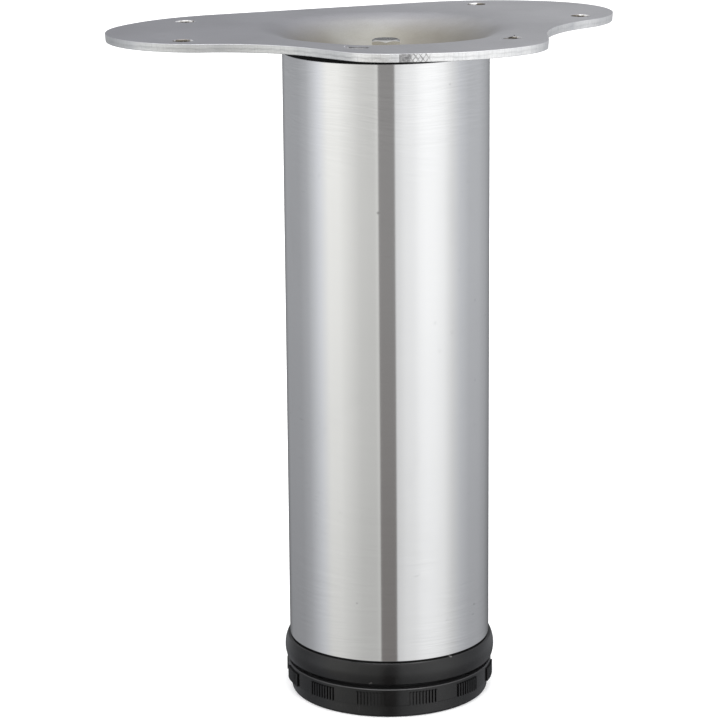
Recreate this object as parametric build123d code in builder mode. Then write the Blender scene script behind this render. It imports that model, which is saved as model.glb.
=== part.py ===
from build123d import *
import os
from math import cos, sin, tan, radians

# Furniture leveling foot: a 60 mm chromed steel leg with a stamped mounting plate on
# top and a screw-adjusted plastic foot below. Millimetres, +Z up. The origin is on the
# tube's axis, at the floor face of the glide pad, with the foot screwed fully in. The
# plate's straight back edge faces +Y and its narrow lobe faces -Y.

os.makedirs("parts", exist_ok=True)

# ---------------------------------------------------------------- driving dimensions
LEG_HEIGHT = 200.0  # floor face to the top of the plate, foot fully in
ADJUST_TRAVEL = 20.0  # how far the foot screws out

TUBE_OD = 60.0
TUBE_WALL = 1.2
TUBE_BOTTOM = 17.5
TUBE_TOP = 193.5

PLATE_T = 2.4
PLATE_TOP = LEG_HEIGHT
PLATE_UNDER = PLATE_TOP - PLATE_T

# Plate outline, half of it from the middle of the straight edge, as tangent runs.
EDGE_Y = 50.4  # the straight back edge
EDGE_HALF = 34.0  # half its length
CORNER_R, CORNER_TURN = 50.8, 38.2  # back corner
FLANK_RUN = 2.4  # short straight flank
WING_R, WING_TURN = 28.7, 122.2  # wing tip
WAIST_R, WAIST_TURN = 42.0, 46.3  # concave waist
LOBE_RUN = 10.1  # straight side of the lobe
LOBE_R, LOBE_TURN = 16.2, 52.7  # lobe corner

# Screw holes, three mirrored pairs.
HOLE_R = 2.75
HOLE_EASE = 0.45  # drawn-in edge of each pierced hole
HOLES = [(47.3, 38.8), (62.4, -1.1), (23.4, -34.5)]

# Dish pressed into the middle of the plate, on the tube's axis.
DISH_R = 38.5
DISH_DEPTH = 9.1
DISH_SLOPE = 26.0
DISH_BEND_R = 18.0  # top face, at the rim
DISH_FLOOR_R = 14.0  # top face, fillet into the floor

# M5 bolt stack.
BOLT_R = 2.5
BOLT_CLEAR_R = 2.75
BOLT_AF = 8.0
BOLT_HEAD_H = 3.5
BOLT_LENGTH = 20.0
WASHER_R, WASHER_T = 5.0, 1.0
SPRING_R, SPRING_T = 4.5, 1.2
NUT_H = 4.0

# Steel bridge welded across the tube.
BRIDGE_TOP = 180.0
BRIDGE_T = 2.0
BRIDGE_RIM = 12.0

# Foot.
COLLAR_BOTTOM = 10.5
COLLAR_TOP = 56.0
SLEEVE_R = 28.65
RIB_R = 28.84  # crush ribs, a press in the 28.8 mm bore
THREAD_LEAD = 4.0
BORE_MAJOR_R = 26.2
BORE_MINOR_R = 24.4
SCREW_MAJOR_R = 26.1
SCREW_ROOT_R = 24.3
THREAD_ROOT_W = 2.4
THREAD_CREST_W = 1.2
GRIP_R = 31.15  # lands of the grip blocks
GRIP_BAND_R = 30.7  # smooth band between them
GRIP_TOP = 9.15
GRIP_BOTTOM = 4.0
BLOCK_TOP = 8.1
BLOCK_ANGLE = 15.9  # degrees
GRIP_BLOCKS = 12
GROOVES_PER_BLOCK = 8
GROOVE_PITCH = 1.87  # degrees
GROOVE_W = 0.54
GROOVE_DEPTH = 0.55
GRIP_PHASE = 25.6  # degrees, centre of one block from +X
SCREW_TOP = 52.0
SCREW_BORE_R = 21.8
PAD_R = 29.55
PAD_EASE = 0.9
PAD_TOP = 3.85
POST_R = 4.0  # the pad's post, which turns in the adjuster's hub
HUB_R = 4.06
HUB_TOP = 8.4
CLIP_Z = 8.45
CLIP_T = 0.9
CLIP_GROOVE_R = 3.2
POST_TOP = 11.4

TUBE_R = TUBE_OD / 2
BORE_R = TUBE_R - TUBE_WALL


# ---------------------------------------------------------------- dish profile helper
def dish_points(offset):
    """Radial points of the pressed dish: rim, end of bend, end of wall, floor edge.

    offset is the distance below the top face, measured square to the sheet.
    """
    a = radians(DISH_SLOPE)
    wall = (DISH_DEPTH - (DISH_BEND_R + DISH_FLOOR_R) * (1 - cos(a))) / sin(a)
    r1 = DISH_BEND_R - offset
    r2 = DISH_FLOOR_R + offset
    z0 = PLATE_TOP - offset
    zc = PLATE_TOP - DISH_BEND_R
    p0 = (DISH_R, z0)
    m0 = (DISH_R - r1 * sin(a / 2), zc + r1 * cos(a / 2))
    p1 = (DISH_R - r1 * sin(a), zc + r1 * cos(a))
    span = (DISH_BEND_R + DISH_FLOOR_R) * sin(a) + wall * cos(a)
    rc = DISH_R - span
    zf = PLATE_TOP - DISH_DEPTH + DISH_FLOOR_R
    p2 = (rc + r2 * sin(a), zf - r2 * cos(a))
    m2 = (rc + r2 * sin(a / 2), zf - r2 * cos(a / 2))
    p3 = (rc, zf - r2)
    return p0, m0, p1, p2, m2, p3


DISH_FLOOR_TOP = PLATE_TOP - DISH_DEPTH
DISH_FLOOR_UNDER = DISH_FLOOR_TOP - PLATE_T

# ---------------------------------------------------------------- mounting plate
with BuildPart() as mounting_plate:
    with BuildSketch(Plane.XY.offset(PLATE_UNDER)):
        with BuildLine() as outline:
            edge = Line((0, EDGE_Y), (EDGE_HALF, EDGE_Y))
            corner = JernArc(edge @ 1, edge % 1, CORNER_R, -CORNER_TURN)
            flank = Line(corner @ 1, corner @ 1 + (corner % 1) * FLANK_RUN)
            wing = JernArc(flank @ 1, flank % 1, WING_R, -WING_TURN)
            waist = JernArc(wing @ 1, wing % 1, WAIST_R, WAIST_TURN)
            side = Line(waist @ 1, waist @ 1 + (waist % 1) * LOBE_RUN)
            lobe = JernArc(side @ 1, side % 1, LOBE_R, -LOBE_TURN)
            # The nose closes on the middle line, square to it.
            turn = 180.0 - (CORNER_TURN + WING_TURN - WAIST_TURN + LOBE_TURN)
            nose_r = (lobe @ 1).X / sin(radians(turn))
            nose = JernArc(lobe @ 1, lobe % 1, nose_r, -turn)
            mirror(about=Plane.YZ)
        make_face()
        print("nose radius", round(nose_r, 2), "nose y", round((nose @ 1).Y, 2))
    extrude(amount=PLATE_T)
    # A sheared blank has a slightly rolled upper edge and a sharper lower one.
    rims = mounting_plate.faces().sort_by(Axis.Z)
    chamfer(rims[-1].edges(), length=0.3)
    chamfer(mounting_plate.faces().sort_by(Axis.Z)[0].edges(), length=0.15)
    # Swap the flat middle for the pressed dish.
    with BuildSketch(Plane.XY.offset(PLATE_UNDER)):
        Circle(DISH_R)
    extrude(amount=PLATE_T, mode=Mode.SUBTRACT)
    with BuildSketch(Plane.XZ):
        with BuildLine():
            t0, tm0, t1, t2, tm2, t3 = dish_points(0)
            u0, um0, u1, u2, um2, u3 = dish_points(PLATE_T)
            ThreePointArc(t0, tm0, t1)
            Line(t1, t2)
            ThreePointArc(t2, tm2, t3)
            Line(t3, (BOLT_CLEAR_R, DISH_FLOOR_TOP))
            Line((BOLT_CLEAR_R, DISH_FLOOR_TOP), (BOLT_CLEAR_R, DISH_FLOOR_UNDER))
            Line((BOLT_CLEAR_R, DISH_FLOOR_UNDER), u3)
            ThreePointArc(u3, um2, u2)
            Line(u2, u1)
            ThreePointArc(u1, um0, u0)
            Line(u0, t0)
        make_face()
    revolve(axis=Axis.Z)
    # Pierced screw holes with drawn-in edges on the top side.
    with Locations([(s * x, y, PLATE_TOP) for x, y in HOLES for s in (1, -1)]):
        Hole(radius=HOLE_R, depth=3 * PLATE_T)
    with Locations([(s * x, y, PLATE_TOP - HOLE_EASE / 2) for x, y in HOLES for s in (1, -1)]):
        Cone(bottom_radius=HOLE_R, top_radius=HOLE_R + HOLE_EASE, height=HOLE_EASE, mode=Mode.SUBTRACT)
mounting_plate.part.label = "mounting_plate"

# ---------------------------------------------------------------- bolt stack
HEAD_BASE = DISH_FLOOR_TOP + WASHER_T + SPRING_T
HEAD_TOP = HEAD_BASE + BOLT_HEAD_H

with BuildPart() as bolt_washer:
    with BuildSketch(Plane.XY.offset(DISH_FLOOR_TOP)):
        Circle(WASHER_R)
        Circle(2.65, mode=Mode.SUBTRACT)
    extrude(amount=WASHER_T)
    chamfer(bolt_washer.faces().sort_by(Axis.Z)[-1].edges().sort_by(SortBy.RADIUS)[-1], length=0.15)
bolt_washer.part.label = "bolt_washer"

with BuildPart() as spring_washer:
    with BuildSketch(Plane.XY.offset(DISH_FLOOR_TOP + WASHER_T)):
        Circle(SPRING_R)
        Circle(2.6, mode=Mode.SUBTRACT)
    extrude(amount=SPRING_T)
    # The split, cut on a slant.
    with BuildSketch(Plane.YZ.offset(2.2)):
        with BuildLine():
            zb = DISH_FLOOR_TOP + WASHER_T
            Polyline((-0.75, zb - 0.2), (-0.35, zb - 0.2), (0.75, zb + SPRING_T + 0.2), (0.35, zb + SPRING_T + 0.2), close=True)
        make_face()
    extrude(amount=3.0, mode=Mode.SUBTRACT)
spring_washer.part.label = "spring_washer"

with BuildPart() as plate_bolt:
    with BuildSketch(Plane.XY.offset(HEAD_BASE)):
        RegularPolygon(radius=BOLT_AF / 2, side_count=6, major_radius=False, rotation=6.5)
    extrude(amount=BOLT_HEAD_H)
    # 30 degree turned chamfer on the head's crown.
    with BuildSketch(Plane.XZ):
        with BuildLine():
            ra = 3.5
            rb = 5.2
            Polyline((ra, HEAD_TOP + 0.01), (rb, HEAD_TOP + 0.01), (rb, HEAD_TOP - (rb - ra) * tan(radians(28))), close=True)
        make_face()
    revolve(axis=Axis.Z, mode=Mode.SUBTRACT)
    with BuildSketch(Plane.XY.offset(HEAD_BASE - BOLT_LENGTH)):
        Circle(BOLT_R - 0.05)
    extrude(amount=BOLT_LENGTH)
    chamfer(plate_bolt.faces().sort_by(Axis.Z)[0].edges(), length=0.5)
plate_bolt.part.label = "plate_bolt"

# ---------------------------------------------------------------- top plug
PLUG_BOTTOM = 181.0
PLUG_SKIN = 2.0
PLUG_CLEAR = 0.08

with BuildPart() as top_plug:
    with BuildSketch(Plane.XZ):
        with BuildLine():
            o0, om0, o1, o2, om2, o3 = dish_points(PLATE_T + PLUG_CLEAR)
            a = radians(DISH_SLOPE)
            # Height of the dish's underside where the flange ends.
            z_rim = o1[1] - (o1[0] - TUBE_R) * tan(a) if TUBE_R < o1[0] else o1[1]
            boss_r = 9.5
            Line((TUBE_R, TUBE_TOP), (TUBE_R, z_rim))
            Line((TUBE_R, z_rim), o2)
            ThreePointArc(o2, om2, o3)
            Line(o3, (boss_r, o3[1]))
            Line((boss_r, o3[1]), (boss_r, DISH_FLOOR_UNDER))
            Line((boss_r, DISH_FLOOR_UNDER), (BOLT_CLEAR_R + 0.1, DISH_FLOOR_UNDER))
            Line((BOLT_CLEAR_R + 0.1, DISH_FLOOR_UNDER), (BOLT_CLEAR_R + 0.1, BRIDGE_TOP))
            Line((BOLT_CLEAR_R + 0.1, BRIDGE_TOP), (boss_r, BRIDGE_TOP))
            Line((boss_r, BRIDGE_TOP), (boss_r, DISH_FLOOR_UNDER - PLUG_SKIN - 0.6))
            Line((boss_r, DISH_FLOOR_UNDER - PLUG_SKIN - 0.6), (14.0, DISH_FLOOR_UNDER - PLUG_SKIN - 0.1))
            Line((14.0, DISH_FLOOR_UNDER - PLUG_SKIN - 0.1), (26.4, 191.0))
            Line((26.4, 191.0), (26.4, PLUG_BOTTOM))
            Line((26.4, PLUG_BOTTOM), (SLEEVE_R - 0.5, PLUG_BOTTOM))
            Line((SLEEVE_R - 0.5, PLUG_BOTTOM), (SLEEVE_R, PLUG_BOTTOM + 1.5))
            Line((SLEEVE_R, PLUG_BOTTOM + 1.5), (SLEEVE_R, TUBE_TOP))
            Line((SLEEVE_R, TUBE_TOP), (TUBE_R, TUBE_TOP))
        make_face()
    revolve(axis=Axis.Z)
    # Radial ribs between the boss and the sleeve.
    with BuildSketch(Plane.XY.offset(PLUG_BOTTOM + 1.0)) as ribs:
        with PolarLocations(0, 6, start_angle=30):
            with Locations((18.0, 0)):
                Rectangle(18.0, 1.6)
    extrude(amount=4.5)
    # Crush ribs on the sleeve.
    with PolarLocations(0, 10):
        with Locations((SLEEVE_R - 0.2, 0, (PLUG_BOTTOM + 2.5 + TUBE_TOP - 0.5) / 2)):
            Cylinder(radius=RIB_R - SLEEVE_R + 0.2, height=TUBE_TOP - PLUG_BOTTOM - 3.0)
top_plug.part.label = "top_plug"

# ---------------------------------------------------------------- tube and its bridge
with BuildPart() as leg_tube:
    with BuildSketch(Plane.XY.offset(TUBE_BOTTOM)):
        Circle(TUBE_R)
        Circle(BORE_R, mode=Mode.SUBTRACT)
    extrude(amount=TUBE_TOP - TUBE_BOTTOM)
    ends = leg_tube.edges().filter_by(GeomType.CIRCLE).filter_by(lambda e: e.radius > TUBE_R - 0.1)
    chamfer(ends, length=0.2)
leg_tube.part.label = "leg_tube"

with BuildPart() as tube_bridge:
    with BuildSketch(Plane.XZ):
        ro = BORE_R - 0.01
        with BuildLine():
            z1 = BRIDGE_TOP
            z2 = BRIDGE_TOP - BRIDGE_T
            z3 = BRIDGE_TOP - BRIDGE_RIM
            b = 3.0
            Line((BOLT_CLEAR_R, z1), (ro - b, z1))
            ThreePointArc((ro - b, z1), (ro - b + b * sin(radians(45)), z1 - b + b * cos(radians(45))), (ro, z1 - b))
            Line((ro, z1 - b), (ro, z3))
            Line((ro, z3), (ro - BRIDGE_T, z3))
            Line((ro - BRIDGE_T, z3), (ro - BRIDGE_T, z1 - b))
            bi = b - BRIDGE_T
            ThreePointArc((ro - BRIDGE_T, z1 - b), (ro - b + bi * sin(radians(45)), z1 - b + bi * cos(radians(45))), (ro - b, z2))
            Line((ro - b, z2), (BOLT_CLEAR_R, z2))
            Line((BOLT_CLEAR_R, z2), (BOLT_CLEAR_R, z1))
        make_face()
    revolve(axis=Axis.Z)
tube_bridge.part.label = "tube_bridge"

with BuildPart() as bridge_nut:
    with BuildSketch(Plane.XY.offset(BRIDGE_TOP - BRIDGE_T - NUT_H)):
        RegularPolygon(radius=BOLT_AF / 2, side_count=6, major_radius=False)
        Circle(BOLT_R, mode=Mode.SUBTRACT)
    extrude(amount=NUT_H)
    with BuildSketch(Plane.XZ):
        with BuildLine():
            zn = BRIDGE_TOP - BRIDGE_T - NUT_H
            Polyline((3.8, zn - 0.01), (5.2, zn - 0.01), (5.2, zn + 1.4 * tan(radians(28))), close=True)
        make_face()
    revolve(axis=Axis.Z, mode=Mode.SUBTRACT)
bridge_nut.part.label = "bridge_nut"


# ---------------------------------------------------------------- coarse foot thread
def thread_profile(r_in, r_out, w_in, w_out, z):
    """Corner points of a trapezoid tooth in the XZ plane, centred at height z."""
    return [(r_in, z - w_in / 2), (r_out, z - w_out / 2), (r_out, z + w_out / 2), (r_in, z + w_in / 2)]


# ---------------------------------------------------------------- foot collar
with BuildPart() as foot_collar:
    with BuildSketch(Plane.XZ):
        with BuildLine():
            Line((BORE_MAJOR_R, COLLAR_BOTTOM), (30.7, COLLAR_BOTTOM))
            Line((30.7, COLLAR_BOTTOM), (31.1, COLLAR_BOTTOM + 0.35))
            ThreePointArc((31.1, COLLAR_BOTTOM + 0.35), (31.5, 13.4), (30.75, 17.0))
            Line((30.75, 17.0), (30.45, 17.2))
            Line((30.45, 17.2), (29.6, 17.2))
            Line((29.6, 17.2), (29.6, TUBE_BOTTOM))
            Line((29.6, TUBE_BOTTOM), (SLEEVE_R, TUBE_BOTTOM))
            Line((SLEEVE_R, TUBE_BOTTOM), (SLEEVE_R, COLLAR_TOP - 2.0))
            Line((SLEEVE_R, COLLAR_TOP - 2.0), (SLEEVE_R - 0.8, COLLAR_TOP))
            Line((SLEEVE_R - 0.8, COLLAR_TOP), (BORE_MAJOR_R, COLLAR_TOP))
            Line((BORE_MAJOR_R, COLLAR_TOP), (BORE_MAJOR_R, COLLAR_BOTTOM))
        make_face()
    revolve(axis=Axis.Z)
    with PolarLocations(0, 12):
        with Locations((SLEEVE_R - 0.2, 0, (TUBE_BOTTOM + COLLAR_TOP) / 2)):
            Cylinder(radius=RIB_R - SLEEVE_R + 0.2, height=COLLAR_TOP - TUBE_BOTTOM - 6.0)
    # Internal thread ridge, half a lead away from the screw's ridge.
    with BuildLine() as collar_helix:
        Helix(pitch=THREAD_LEAD, height=36.0, radius=BORE_MAJOR_R, center=(0, 0, 14.0))
    with BuildSketch(Plane.XZ):
        with BuildLine():
            Polyline(*thread_profile(BORE_MINOR_R, BORE_MAJOR_R + 0.4, THREAD_CREST_W, THREAD_ROOT_W + 0.26, 14.0), close=True)
        make_face()
    sweep(path=collar_helix.line, is_frenet=True)
foot_collar.part.label = "foot_collar"

# ---------------------------------------------------------------- adjuster
with BuildPart() as adjuster:
    with BuildSketch(Plane.XZ):
        with BuildLine():
            Polyline(
                (HUB_R, GRIP_BOTTOM),
                (25.2, GRIP_BOTTOM),
                (25.2, 7.2),
                (28.9, 7.2),
                (28.9, GRIP_BOTTOM),
                (GRIP_BAND_R - 0.15, GRIP_BOTTOM),
                (GRIP_BAND_R, GRIP_BOTTOM + 0.15),
                (GRIP_BAND_R, GRIP_TOP - 0.22),
                (GRIP_BAND_R - 0.22, GRIP_TOP),
                (27.6, GRIP_TOP),
                (27.6, COLLAR_BOTTOM - 0.05),
                (SCREW_ROOT_R, COLLAR_BOTTOM - 0.05),
                (SCREW_ROOT_R, SCREW_TOP - 1.0),
                (SCREW_ROOT_R - 1.0, SCREW_TOP),
                (SCREW_BORE_R, SCREW_TOP),
                (SCREW_BORE_R, 7.6),
                (SCREW_BORE_R - 1.0, 6.6),
                (7.2, 6.6),
                (7.2, HUB_TOP),
                (HUB_R, HUB_TOP),
                close=True,
            )
        make_face()
    revolve(axis=Axis.Z)
    # Stiffening webs in the cored underside of the grip ring.
    with BuildSketch(Plane.XY.offset(GRIP_BOTTOM)):
        with PolarLocations(0, 12, start_angle=GRIP_PHASE + 15):
            with Locations((27.05, 0)):
                Rectangle(4.2, 1.4)
    extrude(amount=3.4)
    # Raised grip blocks.
    with BuildSketch(Plane.XY.offset(GRIP_BOTTOM + 0.1)):
        Circle(GRIP_R)
        Circle(GRIP_BAND_R - 0.5, mode=Mode.SUBTRACT)
        with BuildSketch(mode=Mode.INTERSECT):
            half = 33.0 * tan(radians(BLOCK_ANGLE / 2))
            with PolarLocations(0, GRIP_BLOCKS, start_angle=GRIP_PHASE):
                Polygon((0, 0), (33.0, -half), (33.0, half), align=None)
    extrude(amount=BLOCK_TOP - GRIP_BOTTOM - 0.1)
    # Fine upright grooves in every block.
    for k in range(GROOVES_PER_BLOCK):
        a0 = GRIP_PHASE + (k - (GROOVES_PER_BLOCK - 1) / 2) * GROOVE_PITCH
        with PolarLocations(GRIP_R, GRIP_BLOCKS, start_angle=a0):
            with Locations((0, 0, (GRIP_BOTTOM + BLOCK_TOP) / 2)):
                Box(2 * GROOVE_DEPTH, GROOVE_W, BLOCK_TOP - GRIP_BOTTOM + 0.2, mode=Mode.SUBTRACT)
    # External thread ridge.
    with BuildLine() as screw_helix:
        Helix(pitch=THREAD_LEAD, height=32.0, radius=SCREW_ROOT_R, center=(0, 0, 14.0 + THREAD_LEAD / 2))
    with BuildSketch(Plane.XZ):
        with BuildLine():
            Polyline(*thread_profile(SCREW_ROOT_R - 0.4, SCREW_MAJOR_R, THREAD_ROOT_W + 0.26, THREAD_CREST_W, 14.0 + THREAD_LEAD / 2), close=True)
        make_face()
    sweep(path=screw_helix.line, is_frenet=True)
adjuster.part.label = "adjuster"

# ---------------------------------------------------------------- glide pad and its clip
# The pad's post turns in the adjuster's hub; the clip in its groove stops it dropping out.
with BuildPart() as glide_pad:
    with BuildSketch(Plane.XZ):
        with BuildLine():
            e = PAD_EASE
            Line((0.0, 0.0), (PAD_R - e, 0.0))
            ThreePointArc((PAD_R - e, 0.0), (PAD_R - e + e * sin(radians(45)), e - e * cos(radians(45))), (PAD_R, e))
            Line((PAD_R, e), (PAD_R, PAD_TOP - 0.25))
            Polyline(
                (PAD_R, PAD_TOP - 0.25),
                (PAD_R - 0.25, PAD_TOP),
                (POST_R, PAD_TOP),
                (POST_R, CLIP_Z),
                (CLIP_GROOVE_R, CLIP_Z),
                (CLIP_GROOVE_R, CLIP_Z + CLIP_T + 0.06),
                (POST_R, CLIP_Z + CLIP_T + 0.06),
                (POST_R, POST_TOP - 0.6),
                (POST_R - 0.6, POST_TOP),
                (0.0, POST_TOP),
                (0.0, 0.0),
            )
        make_face()
    revolve(axis=Axis.Z)
    # Anti-slip grooves in the floor face.
    for r in (12.0, 16.0, 20.0, 24.0):
        with BuildSketch(Plane.XY):
            Circle(r + 0.5)
            Circle(r - 0.5, mode=Mode.SUBTRACT)
        extrude(amount=0.6, mode=Mode.SUBTRACT)
glide_pad.part.label = "glide_pad"

with BuildPart() as pad_clip:
    with BuildSketch(Plane.XY.offset(CLIP_Z + 0.03)):
        Circle(6.6)
        Circle(CLIP_GROOVE_R + 0.02, mode=Mode.SUBTRACT)
        with Locations((0, -6.0)):
            Rectangle(2 * CLIP_GROOVE_R - 0.9, 9.0, mode=Mode.SUBTRACT)
        # Relief notches that leave three gripping prongs.
        with PolarLocations(0, 2, start_angle=35, angular_range=220):
            with Locations((CLIP_GROOVE_R + 0.5, 0)):
                Circle(1.15, mode=Mode.SUBTRACT)
    extrude(amount=CLIP_T)
pad_clip.part.label = "pad_clip"

# ---------------------------------------------------------------- files, one per piece
export_step(mounting_plate.part, "parts/mounting_plate.step")
export_step(plate_bolt.part, "parts/plate_bolt.step")
export_step(spring_washer.part, "parts/spring_washer.step")
export_step(bolt_washer.part, "parts/bolt_washer.step")
export_step(top_plug.part, "parts/top_plug.step")
export_step(leg_tube.part, "parts/leg_tube.step")
export_step(tube_bridge.part, "parts/tube_bridge.step")
export_step(bridge_nut.part, "parts/bridge_nut.step")
export_step(foot_collar.part, "parts/foot_collar.step")
export_step(adjuster.part, "parts/adjuster.step")
export_step(glide_pad.part, "parts/glide_pad.step")
export_step(pad_clip.part, "parts/pad_clip.step")
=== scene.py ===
import math
import bpy
import numpy as np
from mathutils import Matrix, Vector, noise
from mathutils.geometry import delaunay_2d_cdt


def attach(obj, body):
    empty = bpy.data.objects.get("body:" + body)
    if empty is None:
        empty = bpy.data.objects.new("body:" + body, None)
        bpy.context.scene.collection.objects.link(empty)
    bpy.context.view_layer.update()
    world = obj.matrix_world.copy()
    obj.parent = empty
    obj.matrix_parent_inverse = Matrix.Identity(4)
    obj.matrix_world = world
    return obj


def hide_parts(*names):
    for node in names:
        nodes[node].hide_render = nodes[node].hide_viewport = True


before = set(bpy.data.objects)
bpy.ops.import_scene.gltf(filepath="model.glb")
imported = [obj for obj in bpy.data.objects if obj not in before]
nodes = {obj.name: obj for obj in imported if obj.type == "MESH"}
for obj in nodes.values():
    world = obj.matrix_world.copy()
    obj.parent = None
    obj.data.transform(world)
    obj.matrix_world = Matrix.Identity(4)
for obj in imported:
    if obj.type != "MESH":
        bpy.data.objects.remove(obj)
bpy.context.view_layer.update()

MM = 0.001
COL = bpy.context.scene.collection
scene = bpy.context.scene


# ------------------------------------------------------------------ small helpers
def lin(v):
    """An 0..255 display value as linear light."""
    v = v / 255.0
    return v / 12.92 if v <= 0.04045 else ((v + 0.055) / 1.055) ** 2.4


def fbm(p, octaves=4):
    """Smooth noise in about -1..1 at a point."""
    s, a, t = 0.0, 1.0, 0.0
    q = Vector(p)
    for _ in range(octaves):
        s += a * noise.noise(q)
        t += a
        a *= 0.5
        q = q * 2.03 + Vector((11.3, 7.1, 3.7))
    return s / t


def mesh_piece(name, verts, faces, mats, body, face_mats=None, sharp=38.0):
    """A new piece from vertices in millimetres."""
    me = bpy.data.meshes.new(name)
    me.from_pydata([(x * MM, y * MM, z * MM) for x, y, z in verts], [], faces)
    for m in mats:
        me.materials.append(m)
    if face_mats is not None:
        me.polygons.foreach_set("material_index", face_mats)
    me.validate()
    me.update()
    ob = bpy.data.objects.new(name, me)
    COL.objects.link(ob)
    import bmesh

    bm = bmesh.new()
    bm.from_mesh(me)
    bmesh.ops.recalc_face_normals(bm, faces=bm.faces)
    bm.to_mesh(me)
    bm.free()
    me.shade_smooth()
    me.set_sharp_from_angle(angle=math.radians(sharp))
    w = ob.modifiers.new("weighted", "WEIGHTED_NORMAL")
    w.keep_sharp = True
    w.weight = 60
    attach(ob, body)
    return ob


def round_profile(pts, closed=True, steps=5):
    """Rounds the corners of a profile given as (r, z, corner radius)."""
    n = len(pts)
    out = []
    for i in range(n):
        r, z, c = pts[i]
        if c <= 0 or (not closed and i in (0, n - 1)):
            out.append((r, z))
            continue
        a = np.array(pts[i - 1][:2], float)
        b = np.array((r, z), float)
        d = np.array(pts[(i + 1) % n][:2], float)
        u, v = a - b, d - b
        lu, lv = np.linalg.norm(u), np.linalg.norm(v)
        u, v = u / lu, v / lv
        half = math.acos(max(-1, min(1, float(u @ v)))) / 2
        if abs(half - math.pi / 2) < 0.02:
            out.append((r, z))
            continue
        run = min(c / math.tan(half), lu * 0.49, lv * 0.49)
        c = run * math.tan(half)
        centre = b + (u + v) / np.linalg.norm(u + v) * (c / math.sin(half))
        p0, p1 = b + u * run, b + v * run
        a0 = math.atan2(*(p0 - centre)[::-1])
        a1 = math.atan2(*(p1 - centre)[::-1])
        da = (a1 - a0 + math.pi) % (2 * math.pi) - math.pi
        for k in range(steps + 1):
            t = a0 + da * k / steps
            out.append((centre[0] + c * math.cos(t), centre[1] + c * math.sin(t)))
    return out


def split_long(profile, step, closed=True):
    """Adds points to the long runs of a profile."""
    out = []
    n = len(profile)
    for i in range(n if closed else n - 1):
        p, q = np.array(profile[i]), np.array(profile[(i + 1) % n])
        k = max(1, int(math.ceil(np.linalg.norm(q - p) / step)))
        for j in range(k):
            out.append(tuple(p + (q - p) * j / k))
    if not closed:
        out.append(tuple(profile[-1]))
    return out


def lathe_data(profile, thetas, closed=True, radial=None):
    """Rings of a profile turned about Z. radial(r, th, z) may move a point in or out."""
    verts, faces = [], []
    n, m = len(profile), len(thetas)
    index = []
    for r, z in profile:
        if r < 1e-6:
            index.append([len(verts)] * m)
            verts.append((0.0, 0.0, z))
            continue
        ring = []
        for th in thetas:
            rr = radial(r, th, z) if radial else r
            ring.append(len(verts))
            verts.append((rr * math.cos(th), rr * math.sin(th), z))
        index.append(ring)
    for i in range(n if closed else n - 1):
        a, b = index[i], index[(i + 1) % n]
        if a[0] == a[1] and b[0] == b[1]:
            continue
        for j in range(m):
            k = (j + 1) % m
            f = [a[j], a[k], b[k], b[j]]
            g = []
            for v in f:
                if v not in g:
                    g.append(v)
            if len(g) >= 3:
                faces.append(g)
    return verts, faces


def turn(n):
    return [2 * math.pi * k / n for k in range(n)]


# ------------------------------------------------------------------ node helpers
class Tree:
    """A few short cuts for building a node tree."""

    def __init__(self, tree):
        self.t = tree

    def n(self, kind, **props):
        node = self.t.nodes.new(kind)
        for k, v in props.items():
            setattr(node, k, v)
        return node

    def put(self, node, key, value):
        s = node.inputs[key]
        if isinstance(value, bpy.types.NodeSocket):
            self.t.links.new(value, s)
        else:
            s.default_value = value

    def math(self, op, a, b=None, c=None, clamp=False):
        m = self.n("ShaderNodeMath", operation=op, use_clamp=clamp)
        for i, v in enumerate((a, b, c)):
            if v is not None:
                self.put(m, i, v)
        return m.outputs[0]

    def combine(self, x, y, z):
        m = self.n("ShaderNodeCombineXYZ")
        for i, v in enumerate((x, y, z)):
            self.put(m, i, v)
        return m.outputs[0]

    def noise(self, vector, scale, detail=3.0, rough=0.5, distortion=0.0):
        m = self.n("ShaderNodeTexNoise")
        self.put(m, "Vector", vector)
        self.put(m, "Scale", scale)
        self.put(m, "Detail", detail)
        self.put(m, "Roughness", rough)
        self.put(m, "Distortion", distortion)
        return m.outputs["Fac"]

    def voronoi(self, vector, scale, feature="F1", rand=1.0):
        m = self.n("ShaderNodeTexVoronoi", feature=feature)
        self.put(m, "Vector", vector)
        self.put(m, "Scale", scale)
        self.put(m, "Randomness", rand)
        return m.outputs["Distance"]

    def range(self, value, a, b, c=0.0, d=1.0, smooth=False):
        m = self.n("ShaderNodeMapRange", clamp=True)
        m.interpolation_type = "SMOOTHSTEP" if smooth else "LINEAR"
        for k, v in zip(("Value", "From Min", "From Max", "To Min", "To Max"), (value, a, b, c, d)):
            self.put(m, k, v)
        return m.outputs["Result"]

    def mix(self, fac, a, b, blend="MIX"):
        m = self.n("ShaderNodeMix", data_type="RGBA", blend_type=blend)
        self.put(m, 0, fac)
        for k, v in ((6, a), (7, b)):
            if isinstance(v, tuple) and len(v) == 3:
                v = (*v, 1.0)
            self.put(m, k, v)
        return m.outputs[2]

    def ramp(self, fac, stops, interp="LINEAR"):
        m = self.n("ShaderNodeValToRGB")
        m.color_ramp.interpolation = interp
        e = m.color_ramp.elements
        while len(e) > 1:
            e.remove(e[-1])
        for i, (p, c) in enumerate(stops):
            s = e[0] if i == 0 else e.new(p)
            s.position = p
            s.color = (*c, 1.0) if isinstance(c, tuple) else (c, c, c, 1.0)
        self.put(m, 0, fac)
        return m.outputs[0]

    def bump(self, height, distance, strength=1.0, normal=None):
        m = self.n("ShaderNodeBump")
        self.put(m, "Height", height)
        self.put(m, "Distance", distance)
        self.put(m, "Strength", strength)
        if normal is not None:
            self.put(m, "Normal", normal)
        return m.outputs["Normal"]


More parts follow.
